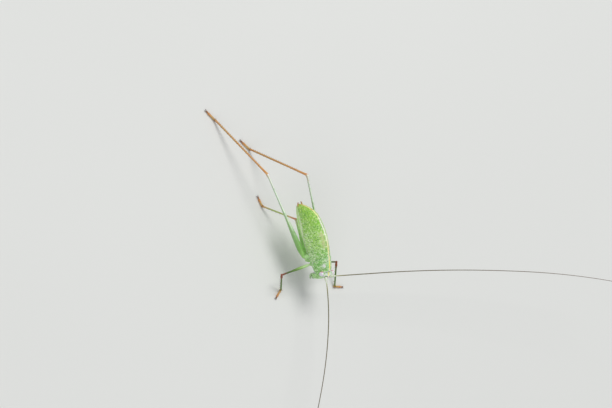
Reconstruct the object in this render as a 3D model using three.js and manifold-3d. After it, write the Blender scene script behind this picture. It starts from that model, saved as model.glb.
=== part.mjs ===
// A bush katydid nymph, a young long horned grasshopper, standing on a level floor.
// Lengths are in mm, +Z is up and the head points towards +X. The body leans a little to its left.
import * as THREE from 'three';
import Module from 'manifold-3d';

const wasm = await Module();
wasm.setup();
const { Manifold, Mesh } = wasm;

// Stance: height of the back's ridge behind the pronotum, and lean of the body to its left.
const RIDGE_HEIGHT = 6.7;
const LEAN_DEG = 8;
// The abdomen swings to the right behind this place, by this much for each mm.
const SWING_START = -0.5;
const SWING_RATE = 0.105;
const GAP = 0.02;
const SIDES = 20;
// The body's oval is narrower at the ridge than at the belly by this share.
const EGG = 0.22;

// Body sections from the neck back: place, ridge height, belly height, half width.
const BODY = [
  [1.10, -0.56, -2.60, 0.80],
  [0.40, -0.17, -2.95, 0.96],
  [-0.50, 0.23, -3.05, 1.04],
  [-1.40, 0.70, -3.05, 1.08],
  [-2.40, 1.16, -2.95, 1.10],
  [-3.60, 1.50, -2.75, 1.12],
  [-4.90, 1.62, -2.50, 1.08],
  [-6.00, 1.56, -2.20, 0.98],
  [-6.80, 1.15, -1.95, 0.84],
  [-7.40, 0.48, -1.70, 0.64],
  [-7.85, -0.25, -1.50, 0.42],
  [-8.10, -0.72, -1.32, 0.22],
];
const LOBE_HEIGHT = -2.25;
const PRONOTUM_SPAN = [1.05, -0.55];
const PRONOTUM_LIFT = 0.05;
const BODY_SPANS = {
  mesothorax: [-0.55, -1.25],
  metathorax: [-1.25, -2.0],
  abdomen_front: [-2.0, -3.9],
  abdomen_middle: [-3.9, -5.8],
  abdomen_rear: [-5.8, -7.3],
  abdomen_tip: [-7.3, -8.1],
};

// Head sections from the crown down: drop below the crown, back, front, half width.
const HEAD = [
  [0.00, 1.00, 1.42, 0.26],
  [0.10, 0.86, 1.64, 0.52],
  [0.32, 0.74, 1.78, 0.76],
  [0.80, 0.68, 1.84, 0.90],
  [1.40, 0.68, 1.82, 0.94],
  [2.00, 0.64, 1.76, 0.86],
  [2.50, 0.66, 1.66, 0.72],
  [2.76, 0.78, 1.54, 0.56],
];
const CROWN_HEIGHT = -0.80;
const HEAD_TURN_DEG = -10;
const NECK = 1.0;
const EYE = { place: [1.26, 0.84, -1.18], half: [0.30, 0.24, 0.37] };

// Each pair of legs: lengths of thigh, shin and foot, then half thickness of the thigh at its
// thickest and at its thinnest, of the shin and of the hip joint.
const PAIRS = {
  fore: { femur: 3.8, tibia: 3.4, tarsus: 1.4, thick: 0.36, slim: 0.28, shin: 0.26, hip: 0.32 },
  mid: { femur: 5.4, tibia: 4.9, tarsus: 1.5, thick: 0.34, slim: 0.27, shin: 0.26, hip: 0.32 },
  hind: { femur: 11.4, tibia: 9.8, tarsus: 1.8, thick: 0.56, slim: 0.27, shin: 0.26, hip: 0.38 },
};
// The stance of each leg: hip in the body's frame, then headings in degrees from +X to the left.
const LEGS = {
  fore_right: { hip: [-0.40, -0.98, -2.75], femur: -89.3, rise: -17.3, tibia: 19.6, tarsus: -53.4 },
  fore_left: { hip: [-0.20, 0.95, -2.78], femur: 75, rise: -29.8, tibia: -8.9, tarsus: 68 },
  mid_right: { hip: [-0.95, -0.78, -3.30], femur: 176.5, rise: 2.8, tibia: -145.5, tarsus: -173.4 },
  mid_left: { hip: [-0.75, 0.78, -3.32], femur: 168, rise: 4.5, tibia: 50, tarsus: 4 },
  hind_right: { hip: [-1.50, -1.60, -2.60], femur: -174.5, rise: 0.8, tibia: -165.5, tarsus: -153 },
  hind_left: { hip: [-0.95, 1.75, -2.90], femur: -173.3, rise: 24.6, tibia: -159, tarsus: -150 },
};
// The hip joint starts inside the body: share of the hip's way out, and height over it.
const HIP_ROOT = { share: 0.45, above: 0.55, flare: 0.08 };
// Where a thigh is thickest and how far that reaches, as shares of its length.
const SWELL = { place: 0.12, reach: 0.30 };
const FLATNESS = { hind: 0.60, other: 0.9 };
const THIGH_BASE = { reach: 0.035, narrow: 0.35 };
const KNEE = { place: 0.98, reach: 0.035, height: 0.06 };
const SHIN_TAPER = 0.02;
const ANKLE_HEIGHT = 0.28;
const FOOT_HALF_WIDTH = 0.26;
const FOOT_HEIGHT = 0.50;
const HEEL = 0.2;
// The foot's outline seen from its end, in half widths and heights, flat below.
const SOLE = [[-0.8, 0], [0.8, 0], [1, 0.25], [1, 0.65], [0.6, 1], [-0.6, 1], [-1, 0.65], [-1, 0.25]];

// Cerci: the two short feelers at the abdomen's tip.
const CERCUS = { root: [-7.62, 0.34, -0.86], tip: [-8.45, 0.40, -0.68], half: [0.24, 0.17] };

// Mouth: half sizes and places, counted from the chin where a height is given.
const LIP = { place: [1.42, 0, -0.22], half: [0.14, 0.34, 0.34] };
const JAW = { place: [1.16, 0.24, -0.14], half: [0.22, 0.22, 0.32] };
const PALP = { path: [[0.86, 0.42, 0.10], [1.06, 0.58, -0.26], [1.50, 0.50, -0.42]], half: 0.13 };

// Antennae: headings at evenly spaced places from root to tip, and the rise of the whole feeler.
const FEELER_RADIUS = 0.255;
const FEELER_LENGTH = 40;
const FEELER_STEPS = 42;
const FEELER_CUTS = { base: [0, 14], middle: [14, 28], tip: [28, 42] };
const FEELER_ROOT = [1.72, 0.26, -1.16];
const SCAPE_LENGTH = 0.62;
const SCAPE_RADIUS = 0.27;
const FEELERS = {
  left: { headings: [74.4, 74.5, 72.4, 70.2, 68.4, 65, 61], rise: 8 },
  right: { headings: [-17.4, -29, -36.4, -41.8, -46.4, -50.4, -54.4], rise: 8 },
};

const rad = (degrees) => (degrees * Math.PI) / 180;
const mix = (a, b, t) => a + (b - a) * t;

// A unit direction from a heading and a rise in degrees.
function direction(heading, rise) {
  const level = Math.cos(rad(rise));
  const x = level * Math.cos(rad(heading));
  const y = level * Math.sin(rad(heading));
  return new THREE.Vector3(x, y, Math.sin(rad(rise)));
}

// A point of the body's frame, set in the standing frame.
function standing(x, y, z) {
  const lean = rad(LEAN_DEG);
  const across = y * Math.cos(lean) + z * Math.sin(lean);
  const up = -y * Math.sin(lean) + z * Math.cos(lean);
  return new THREE.Vector3(x, across, RIDGE_HEIGHT + up);
}

// A point of the head's frame, turned about the neck and set in the standing frame.
function onHead(x, y, z) {
  const turn = rad(HEAD_TURN_DEG);
  const ahead = NECK + (x - NECK) * Math.cos(turn) - y * Math.sin(turn);
  const side = (x - NECK) * Math.sin(turn) + y * Math.cos(turn);
  return standing(ahead, side, z);
}

// A closed solid through rings of equal count, with a fan over each end.
function loft(rings) {
  const count = rings[0].length;
  const vertices = [];
  const triangles = [];
  for (const ring of rings) {
    for (const p of ring) {
      vertices.push(p.x, p.y, p.z);
    }
  }
  for (let i = 0; i < rings.length - 1; i += 1) {
    for (let j = 0; j < count; j += 1) {
      const a = i * count + j;
      const b = i * count + ((j + 1) % count);
      triangles.push(a, b, a + count);
      triangles.push(b, b + count, a + count);
    }
  }
  for (const end of [0, rings.length - 1]) {
    const centre = new THREE.Vector3();
    for (const p of rings[end]) {
      centre.addScaledVector(p, 1 / count);
    }
    const hub = vertices.length / 3;
    vertices.push(centre.x, centre.y, centre.z);
    for (let j = 0; j < count; j += 1) {
      const a = end * count + j;
      const b = end * count + ((j + 1) % count);
      triangles.push(hub, end === 0 ? b : a, end === 0 ? a : b);
    }
  }
  const make = (order) => new Manifold(new Mesh({
    numProp: 3,
    vertProperties: new Float32Array(vertices),
    triVerts: new Uint32Array(order),
  }));
  const solid = make(triangles);
  if (solid.volume() > 0) {
    return solid;
  }
  const turned = [];
  for (let i = 0; i < triangles.length; i += 3) {
    turned.push(triangles[i], triangles[i + 2], triangles[i + 1]);
  }
  return make(turned);
}

// The body's section values at any place along it, by smooth blending between stations.
function bodySection(x) {
  const last = BODY.length - 1;
  let i = 0;
  while (i < last - 1 && x < BODY[i + 1][0]) {
    i += 1;
  }
  const [a, b] = [BODY[i], BODY[i + 1]];
  const t = THREE.MathUtils.clamp((x - a[0]) / (b[0] - a[0]), 0, 1);
  const slope = (k, j) => {
    const lo = BODY[Math.max(j - 1, 0)];
    const hi = BODY[Math.min(j + 1, last)];
    return (hi[k] - lo[k]) / (hi[0] - lo[0]);
  };
  return [1, 2, 3].map((k) => {
    const span = b[0] - a[0];
    const h00 = (1 + 2 * t) * (1 - t) * (1 - t);
    const h10 = t * (1 - t) * (1 - t);
    const h01 = t * t * (3 - 2 * t);
    const h11 = t * t * (t - 1);
    return h00 * a[k] + h10 * span * slope(k, i) + h01 * b[k] + h11 * span * slope(k, i + 1);
  });
}

// One ring of the body: an oval that narrows to a ridge along the back.
function bodyRing(x, grow) {
  const [top, bottom, half] = bodySection(x);
  const middle = (top + bottom) / 2;
  const tall = (top - bottom) / 2 + grow;
  const wide = half + grow;
  const swing = -SWING_RATE * Math.max(0, SWING_START - x);
  const ring = [];
  for (let j = 0; j < SIDES; j += 1) {
    const angle = (j / SIDES) * Math.PI * 2;
    const side = wide * Math.sin(angle) * (1 - EGG * Math.cos(angle));
    ring.push(standing(x, swing + side, middle + tall * Math.cos(angle)));
  }
  return ring;
}

function bodyPiece(from, to, grow = 0) {
  const steps = Math.max(3, Math.round(Math.abs(from - to) / 0.35));
  const rings = [];
  for (let i = 0; i <= steps; i += 1) {
    rings.push(bodyRing(mix(from - GAP / 2 + grow, to + GAP / 2 - grow, i / steps), grow));
  }
  return loft(rings);
}

// Rings across a path, round or flattened, with the tall way kept close to upright.
function sweep(path, wide, tall, sides = 10) {
  const rings = path.map((point, i) => {
    const before = path[Math.max(i - 1, 0)];
    const after = path[Math.min(i + 1, path.length - 1)];
    const along = after.clone().sub(before).normalize();
    const steep = Math.abs(along.z) > 0.95;
    const upright = steep ? new THREE.Vector3(1, 0, 0) : new THREE.Vector3(0, 0, 1);
    const across = upright.cross(along).normalize();
    const over = along.clone().cross(across);
    const ring = [];
    for (let j = 0; j < sides; j += 1) {
      const angle = ((j + 0.5) / sides) * Math.PI * 2;
      const p = point.clone();
      p.addScaledVector(across, wide(i / (path.length - 1)) * Math.cos(angle));
      p.addScaledVector(over, tall(i / (path.length - 1)) * Math.sin(angle));
      ring.push(p);
    }
    return ring;
  });
  return loft(rings);
}

function straight(from, to, steps) {
  const path = [];
  for (let i = 0; i <= steps; i += 1) {
    path.push(from.clone().lerp(to, i / steps));
  }
  return path;
}

// A rounded bead, used for eyes and joints.
function bead(centre, half, turn = (x, y, z) => new THREE.Vector3(x, y, z), grow = 0) {
  const rings = [];
  const rows = 8;
  for (let i = 1; i < rows; i += 1) {
    const tilt = (i / rows) * Math.PI;
    const ring = [];
    for (let j = 0; j < 14; j += 1) {
      const angle = (j / 14) * Math.PI * 2;
      ring.push(turn(
        centre[0] + (half[0] + grow) * Math.sin(tilt) * Math.cos(angle),
        centre[1] + (half[1] + grow) * Math.cos(tilt),
        centre[2] + (half[2] + grow) * Math.sin(tilt) * Math.sin(angle),
      ));
    }
    rings.push(ring);
  }
  return loft(rings);
}

function headSolid(grow = 0) {
  const rings = HEAD.map(([drop, back, front, half], i) => {
    const lift = i === 0 ? grow : 0;
    const ring = [];
    for (let j = 0; j < SIDES; j += 1) {
      const angle = (j / SIDES) * Math.PI * 2;
      const x = (back + front) / 2 + ((front - back) / 2 + grow) * Math.cos(angle);
      const y = (half + grow) * Math.sin(angle);
      ring.push(onHead(x, y, CROWN_HEIGHT - drop + lift));
    }
    return ring;
  });
  return loft(rings);
}

// The largest piece left after a cut.
function whole(solid) {
  return solid.decompose().reduce((best, piece) => (piece.volume() > best.volume() ? piece : best));
}

const pieces = {};

// Trunk.
const [saddleFront, saddleBack] = PRONOTUM_SPAN;
const front = bodyPiece(saddleFront, saddleBack);
const saddle = bodyPiece(saddleFront, saddleBack, 0).add(
  bodyPiece(saddleFront - PRONOTUM_LIFT, saddleBack + PRONOTUM_LIFT, PRONOTUM_LIFT),
);
const lean = rad(LEAN_DEG);
const upward = [0, Math.sin(lean), Math.cos(lean)];
const lobeLine = RIDGE_HEIGHT * Math.cos(lean) + LOBE_HEIGHT;
pieces.pronotum = saddle.trimByPlane(upward, lobeLine + GAP / 2);
pieces.prothorax = front.trimByPlane(upward.map((v) => -v), -(lobeLine - GAP / 2));
for (const [name, span] of Object.entries(BODY_SPANS)) {
  pieces[name] = bodyPiece(span[0], span[1]);
}
const trunk = bodyPiece(saddleFront, saddleBack, PRONOTUM_LIFT + GAP).add(
  bodyPiece(saddleBack, -8.1, GAP),
);

// Head, eyes and mouth.
pieces.head = headSolid().subtract(trunk);
const headGrown = headSolid(GAP);
for (const side of [1, -1]) {
  const name = side > 0 ? 'left' : 'right';
  const [x, y, z] = EYE.place;
  pieces[`eye_${name}`] = bead([x, side * y, z], EYE.half, onHead).subtract(headGrown);
}
const chin = CROWN_HEIGHT - HEAD[HEAD.length - 1][0];
const underChin = ([x, y, z], side = 1) => [x, side * y, chin + z];
pieces.labrum = bead(underChin(LIP.place), LIP.half, onHead).subtract(headGrown);
const lipGrown = bead(underChin(LIP.place), LIP.half, onHead, GAP);
for (const side of [1, -1]) {
  const name = side > 0 ? 'left' : 'right';
  const jaw = bead(underChin(JAW.place, side), JAW.half, onHead);
  pieces[`mandible_${name}`] = jaw.subtract(headGrown).subtract(lipGrown);
  const path = PALP.path.map((point) => onHead(...underChin(point, side)));
  const palp = sweep(path, () => PALP.half, () => PALP.half, 8);
  const jawGrown = bead(underChin(JAW.place, side), JAW.half, onHead, GAP);
  pieces[`palp_${name}`] = palp.subtract(headGrown).subtract(jawGrown).subtract(trunk);
}

// Antennae: a short thick root joint and three lengths of whip.
for (const [name, feeler] of Object.entries(FEELERS)) {
  const [ahead, aside, up] = FEELER_ROOT;
  const root = onHead(ahead, name === 'left' ? aside : -aside, up);
  const headingAt = (t) => {
    const place = t * (feeler.headings.length - 1);
    const i = Math.min(Math.floor(place), feeler.headings.length - 2);
    return mix(feeler.headings[i], feeler.headings[i + 1], place - i);
  };
  const path = [root];
  const pace = FEELER_LENGTH / FEELER_STEPS;
  for (let i = 1; i <= FEELER_STEPS; i += 1) {
    const way = direction(headingAt((i - 0.5) / FEELER_STEPS), feeler.rise);
    path.push(path[i - 1].clone().addScaledVector(way, pace));
  }
  const outward = direction(headingAt(0), feeler.rise);
  const scapeEnd = root.clone().addScaledVector(outward, SCAPE_LENGTH);
  const scape = sweep(straight(root, scapeEnd, 2), () => SCAPE_RADIUS, () => SCAPE_RADIUS, 10);
  pieces[`scape_${name}`] = scape.subtract(headGrown);
  path[0] = scapeEnd.clone().addScaledVector(outward, GAP);
  for (const [part, [from, to]] of Object.entries(FEELER_CUTS)) {
    const length = path.slice(from, to + 1).map((p) => p.clone());
    const last = length.length - 1;
    const back = length[last].clone().sub(length[last - 1]).normalize();
    length[last].addScaledVector(back, -GAP);
    pieces[`antenna_${part}_${name}`] = sweep(length, () => FEELER_RADIUS, () => FEELER_RADIUS, 8);
  }
}

// Cerci, standing out of the abdomen's tip.
for (const side of [1, -1]) {
  const swing = -SWING_RATE * (SWING_START - CERCUS.root[0]);
  const [root, tip] = [CERCUS.root, CERCUS.tip].map(([x, y, z]) => standing(x, swing + side * y, z));
  const half = (t) => mix(CERCUS.half[0], CERCUS.half[1], t);
  const cone = sweep(straight(root, tip, 4), half, half, 10);
  pieces[`cercus_${side > 0 ? 'left' : 'right'}`] = cone.subtract(trunk);
}

// Legs: hip joint, thigh, shin and foot, each cut clear of the piece it meets.
for (const [name, stance] of Object.entries(LEGS)) {
  const kind = name.split('_')[0];
  const size = PAIRS[kind];
  const hip = standing(...stance.hip);
  const knee = hip.clone().addScaledVector(direction(stance.femur, stance.rise), size.femur);
  const fall = -Math.asin((knee.z - ANKLE_HEIGHT) / size.tibia) * (180 / Math.PI);
  const ankle = knee.clone().addScaledVector(direction(stance.tibia, fall), size.tibia);
  const [x, y, z] = stance.hip;
  const inner = standing(x, y * HIP_ROOT.share, z + HIP_ROOT.above);
  const hipShape = (grow) => {
    const half = (t) => size.hip + HIP_ROOT.flare * (1 - t) + grow;
    return sweep(straight(inner, hip, 3), half, half, 12);
  };
  const near = (t, { place, reach }) => Math.exp(-(((t - place) / reach) ** 2));
  const hind = kind === 'hind';
  const thighHalf = (t) => {
    const swell = Math.sin(Math.PI * Math.min(1, 0.22 + t * 1.1)) ** 1.6;
    const neck = hind ? 1 - THIGH_BASE.narrow * near(t, { place: 0, reach: THIGH_BASE.reach }) : 1;
    const body = mix(size.slim, size.thick, hind ? near(t, SWELL) : swell);
    return Math.max(size.slim, body * neck) + KNEE.height * near(t, KNEE);
  };
  const flatness = hind ? FLATNESS.hind : FLATNESS.other;
  const thighShape = (grow) => sweep(
    straight(hip, knee, hind ? 14 : 8),
    (t) => mix(1, flatness, near(t, SWELL)) * thighHalf(t) + grow,
    (t) => thighHalf(t) + grow,
    12,
  );
  const shinShape = (grow) => {
    const half = (t) => size.shin + SHIN_TAPER * (1 - t) + grow;
    return sweep(straight(knee, ankle, 6), half, half, 8);
  };
  const toe = direction(stance.tarsus, 0);
  const heel = ankle.clone().addScaledVector(toe, -HEEL);
  const aside = direction(stance.tarsus + 90, 0);
  const footRings = [0, 0.12, 0.3, 0.55, 0.8, 1].map((t) => {
    const centre = heel.clone().addScaledVector(toe, (size.tarsus + HEEL) * t);
    return SOLE.map(([u, v]) => {
      const p = new THREE.Vector3(centre.x, centre.y, v * FOOT_HEIGHT);
      return p.addScaledVector(aside, u * FOOT_HALF_WIDTH);
    });
  });
  pieces[`coxa_${name}`] = hipShape(0).subtract(trunk).subtract(headGrown);
  const thigh = thighShape(0).subtract(hipShape(GAP));
  pieces[`femur_${name}`] = thigh.subtract(trunk).subtract(headGrown);
  pieces[`tarsus_${name}`] = loft(footRings);
  const footGrown = pieces[`tarsus_${name}`].translate([0, 0, GAP]);
  pieces[`tibia_${name}`] = shinShape(0).subtract(thighShape(GAP)).subtract(footGrown);
}

// Colours and roughness by the first word of a name.
const PAINT = {
  head: ['#7fb27a', 0.55],
  eye: ['#d6c8dc', 0.25],
  labrum: ['#a9cfa0', 0.5],
  mandible: ['#8fae72', 0.45],
  palp: ['#b9d6ac', 0.5],
  scape: ['#c9dcb0', 0.5],
  antenna: ['#6f5f4c', 0.6],
  pronotum: ['#86b582', 0.5],
  prothorax: ['#7fae74', 0.55],
  mesothorax: ['#8dbd88', 0.5],
  metathorax: ['#8dbd88', 0.5],
  abdomen: ['#93c28c', 0.5],
  cercus: ['#b98a4e', 0.5],
  coxa: ['#7fae74', 0.55],
  femur: ['#9cc79a', 0.5],
  tibia: ['#b07a45', 0.5],
  tarsus: ['#c08450', 0.5],
};

const group = new THREE.Group();
group.name = 'bush_katydid_nymph';
const box = new THREE.Box3();
const ready = {};
for (const [name, solid] of Object.entries(pieces)) {
  const mesh = whole(solid).getMesh();
  const geometry = new THREE.BufferGeometry();
  geometry.setAttribute('position', new THREE.BufferAttribute(new Float32Array(mesh.vertProperties), 3));
  geometry.setIndex(Array.from(mesh.triVerts));
  geometry.computeBoundingBox();
  box.union(geometry.boundingBox);
  ready[name] = geometry;
}
// The origin is the middle of the whole outline, on the floor.
for (const [name, geometry] of Object.entries(ready)) {
  geometry.translate(-(box.min.x + box.max.x) / 2, -(box.min.y + box.max.y) / 2, 0);
  const [colour, roughness] = PAINT[name.split('_')[0]];
  const material = new THREE.MeshStandardMaterial({ color: colour, roughness, metalness: 0 });
  const flat = geometry.toNonIndexed();
  flat.computeVertexNormals();
  const node = new THREE.Mesh(flat, material);
  node.name = name;
  group.add(node);
}

export default group;
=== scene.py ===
"""Looks of a bush katydid nymph, a young long horned grasshopper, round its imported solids.

Shapes are worked out in mm in the stance frame: the floor is z = 0, the head points to +x,
and x = y = 0 lies under the ridge of the back just behind the pronotum.
"""
import math

import bpy
import numpy as np
from mathutils import Matrix, Vector


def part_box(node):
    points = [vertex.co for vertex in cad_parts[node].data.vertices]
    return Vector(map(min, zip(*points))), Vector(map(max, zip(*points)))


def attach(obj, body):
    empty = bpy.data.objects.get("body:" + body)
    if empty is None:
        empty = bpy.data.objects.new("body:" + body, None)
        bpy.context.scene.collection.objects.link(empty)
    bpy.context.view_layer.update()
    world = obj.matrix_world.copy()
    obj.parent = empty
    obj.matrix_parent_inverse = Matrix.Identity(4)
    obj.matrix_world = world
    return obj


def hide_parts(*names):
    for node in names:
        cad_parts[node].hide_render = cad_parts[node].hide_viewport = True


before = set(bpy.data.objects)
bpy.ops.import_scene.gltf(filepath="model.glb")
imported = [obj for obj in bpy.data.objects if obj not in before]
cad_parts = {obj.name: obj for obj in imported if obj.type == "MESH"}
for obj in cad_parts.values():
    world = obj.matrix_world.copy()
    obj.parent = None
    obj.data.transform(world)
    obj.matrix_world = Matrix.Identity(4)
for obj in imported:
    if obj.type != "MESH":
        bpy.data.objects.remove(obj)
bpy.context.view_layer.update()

MM = 0.001
TURN = 2 * np.pi
SIDES = {"left": 1, "right": -1}

# Stance and trunk, as in the solids.
RIDGE_HEIGHT = 6.7
LEAN = math.radians(8)
SWING_START = -0.5
SWING_RATE = 0.105
EGG = 0.22

# Trunk sections from the neck back: place, ridge height, belly height, half width.
TRUNK = [
    (1.10, -0.56, -2.60, 0.80), (0.40, -0.17, -2.95, 0.96), (-0.50, 0.23, -3.05, 1.04),
    (-1.40, 0.70, -3.05, 1.08), (-2.40, 1.16, -2.95, 1.10), (-3.60, 1.50, -2.75, 1.12),
    (-4.90, 1.62, -2.50, 1.08), (-6.00, 1.56, -2.20, 0.98), (-6.80, 1.15, -1.95, 0.84),
    (-7.40, 0.48, -1.70, 0.64), (-7.85, -0.25, -1.50, 0.42), (-8.10, -0.72, -1.32, 0.22),
]
TRUNK_NODES = [
    "prothorax", "mesothorax", "metathorax", "abdomen_front", "abdomen_middle", "abdomen_rear", "abdomen_tip",
]
# The trunk's skin runs from the neck to a round tail cap.
NECK_END, TAIL_END, TAIL_CAP = 1.05, -7.9, 0.22
# Where each back plate starts, from the mesonotum to the last ring of the abdomen.
PLATES = [-0.60, -1.30, -2.05, -2.75, -3.50, -4.25, -5.00, -5.70, -6.35, -6.95, -7.40, -7.72, -8.12]
ABDOMEN_START = -2.05
# The fold between back and belly plates, as an angle from the ridge: at the thorax and at the tail.
FOLD_FRONT, FOLD_REAR = 2.30, 1.94
# Thorax seams: where each crosses the middle of the flank, and how far it slants for each radian.
THORAX_SEAMS = ((-0.75, 0.35), (-1.12, 0.30), (-1.48, 0.35), (-1.86, 0.28))
KEEL_WIDTH = 0.06

# Head sections from the crown down: drop, back, front, half width.
HEAD = [
    (0.00, 1.00, 1.42, 0.26), (0.10, 0.86, 1.64, 0.52), (0.32, 0.74, 1.78, 0.76),
    (0.80, 0.68, 1.84, 0.90), (1.40, 0.68, 1.82, 0.94), (2.00, 0.64, 1.76, 0.86),
    (2.50, 0.66, 1.66, 0.72), (2.76, 0.78, 1.54, 0.56),
]
CROWN = -0.80
HEAD_HEIGHT = HEAD[-1][0]
CHIN = CROWN - HEAD_HEIGHT
NECK = 1.0
HEAD_TURN = math.radians(-10)
EYE_PLACE = (1.26, 0.84, -1.18)
EYE_HALF = (0.30, 0.24, 0.37)
SOCKET = (1.72, 0.26, -1.16)
# The two palps of a side: a line from the root with heights counted from the chin, radius, places of joints.
PALPS = (
    (((0.86, 0.42, 0.10), (0.94, 0.56, -0.12), (1.10, 0.60, -0.30), (1.50, 0.50, -0.42)),
     0.092, (0.22, 0.45, 0.7)),
    (((0.98, 0.20, 0.05), (1.00, 0.30, -0.26), (1.20, 0.32, -0.44)), 0.072, (0.35, 0.66)),
)

# Lengths of femur, tibia and tarsus, then half thickness of the femur, most and least, and of the tibia.
PAIRS = {
    "fore": (3.8, 3.4, 1.4, 0.21, 0.110, 0.115),
    "mid": (5.4, 4.9, 1.5, 0.27, 0.125, 0.115),
    "hind": (11.4, 9.8, 1.8, 0.50, 0.120, 0.135),
}
# The stance of each leg: hip, heading and rise of the femur, headings of tibia and tarsus, in degrees.
LEGS = {
    "fore_right": ((-0.40, -0.98, -2.75), -89.3, -17.3, 19.6, -53.4),
    "fore_left": ((-0.20, 0.95, -2.78), 75, -29.8, -8.9, 68),
    "mid_right": ((-0.95, -0.78, -3.30), 176.5, 2.8, -145.5, -173.4),
    "mid_left": ((-0.75, 0.78, -3.32), 168, 4.5, 50, 4),
    "hind_right": ((-1.50, -1.60, -2.60), -174.5, 0.8, -165.5, -153),
    "hind_left": ((-0.95, 1.75, -2.90), -173.3, 24.6, -159, -150),
}
ANKLE_HEIGHT = 0.28
# Rows of thorns along a tibia: angle round it in half turns, how many, and their length.
THORN_ROWS = {
    "fore": ((1.28, 6, 0.24), (1.72, 6, 0.24)),
    "mid": ((1.28, 7, 0.22), (1.72, 7, 0.22), (0.3, 4, 0.16)),
    "hind": ((0.28, 26, 0.20), (0.72, 26, 0.20), (1.28, 14, 0.15), (1.72, 14, 0.15)),
}
# Joints of a tarsus: start and end as shares of its length, half width and height of the middle.
TARSUS_JOINTS = ((-0.14, 0.34, 0.145, 0.15), (0.30, 0.56, 0.155, 0.14), (0.52, 0.78, 0.17, 0.13),
                 (0.66, 1.0, 0.09, 0.15))

# Antennae: headings at even places from root to tip, in degrees, and the rise of the whole whip.
WHIPS = {
    "left": (74.4, 74.5, 72.4, 70.2, 68.4, 65, 61),
    "right": (-17.4, -29, -36.4, -41.8, -46.4, -50.4, -54.4),
}
WHIP_RISE = 8
WHIP_LENGTH = 40.0
SCAPE_LENGTH = 0.62

# Camera: angle over the floor, heading and roll, in degrees, and the point that it aims at.
VIEW_TURNS = (60, -5, 75.33)
VIEW_AIM = (-7.80, -0.17, 6.21)
# Lamps: place in metres, power in watts and width in metres.
LAMPS = {"key": ((-0.25, 0.10, 0.50), 1.9, 0.24), "fill": ((0.30, -0.35, 0.30), 0.5, 0.4)}


# ---- frames and curves

def standing(x, y, z):
    """A point of the leaning body set upright: y and z turn by the lean. z counts from the ridge."""
    x, y, z = np.broadcast_arrays(x, y, z)
    across = y * np.cos(LEAN) + z * np.sin(LEAN)
    up = -y * np.sin(LEAN) + z * np.cos(LEAN)
    return np.stack([x, across, RIDGE_HEIGHT + up], -1)


def on_head(x, y, z):
    """A point of the head's frame: x and y turn about the neck, then it is set upright with the body."""
    ahead = NECK + (x - NECK) * np.cos(HEAD_TURN) - y * np.sin(HEAD_TURN)
    side = (x - NECK) * np.sin(HEAD_TURN) + y * np.cos(HEAD_TURN)
    return standing(ahead, side, z)


def direction(heading, rise):
    """Unit direction: cosine and sine of the heading times the rise's cosine, then the rise's sine."""
    h, r = np.radians(heading), np.radians(rise)
    return np.stack(np.broadcast_arrays(np.cos(r) * np.cos(h), np.cos(r) * np.sin(h), np.sin(r)), -1)


def through(stations, place):
    """Values between stations: cubics whose slope at a station is that of its neighbours' chord."""
    table = np.asarray(stations, float)
    table = table[np.argsort(table[:, 0])]
    x, rows = table[:, 0], table[:, 1:]
    low = np.maximum(np.arange(len(x)) - 1, 0)
    high = np.minimum(np.arange(len(x)) + 1, len(x) - 1)
    slope = (rows[high] - rows[low]) / (x[high] - x[low])[:, None]
    i = np.clip(np.searchsorted(x, place) - 1, 0, len(x) - 2)
    span = (x[i + 1] - x[i])[..., None]
    t = np.clip((place - x[i])[..., None] / span, 0, 1)
    rise = (1 + 2 * t) * (1 - t) ** 2 * rows[i] + t * t * (3 - 2 * t) * rows[i + 1]
    bend = t * (1 - t) ** 2 * slope[i] + t * t * (t - 1) * slope[i + 1]
    return np.moveaxis(rise + span * bend, -1, 0)


def hill(x, middle, width):
    """A bell curve, 1 at its middle."""
    return np.exp(-((x - middle) / width) ** 2)


def ease(low, high, x):
    """0 at low, 1 at high, and a smooth S between."""
    t = np.clip((x - low) / (high - low), 0, 1)
    return t * t * (3 - 2 * t)


def blend(a, b, t):
    """From a at t = 0 to b at t = 1, in a straight line."""
    return a + (b - a) * t


def blunt(t, start):
    """1 up to the start share of a length, then a quarter circle that closes the end."""
    return np.sqrt(np.clip(1 - ((t - start) / (1 - start)).clip(0, 1) ** 2, 0.01, 1))


def sides_of(along):
    """The level direction across a line and the one over it."""
    steep = np.abs(along[..., 2:3]) > 0.95
    up = np.where(steep, np.array([1.0, 0, 0]), np.array([0, 0, 1.0]))
    across = np.cross(up, along)
    across /= np.linalg.norm(across, axis=-1, keepdims=True)
    return across, np.cross(along, across)


def circle(across, over, count):
    """Points round a circle of radius 1 in the plane of two directions, for each pair of them."""
    angle = (np.arange(count) / count * TURN)[None, :, None]
    return np.cos(angle) * across[:, None] + np.sin(angle) * over[:, None]


def rounded(length, start, finish, count, steps=7):
    """Places along a length and the share of full width there: a quarter circle at each end, 1 between."""
    turn = np.linspace(0, np.pi / 2, steps)
    nose = start * (1 - np.cos(turn))
    tail = length - finish * (1 - np.cos(turn[::-1]))
    place = np.concatenate([nose[:-1], np.linspace(start, length - finish, count), tail[1:]])
    share = np.concatenate([np.sin(turn)[:-1], np.ones(count), np.sin(turn[::-1])[1:]])
    return place, np.maximum(share, 0.03)


# ---- surfaces

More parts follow.
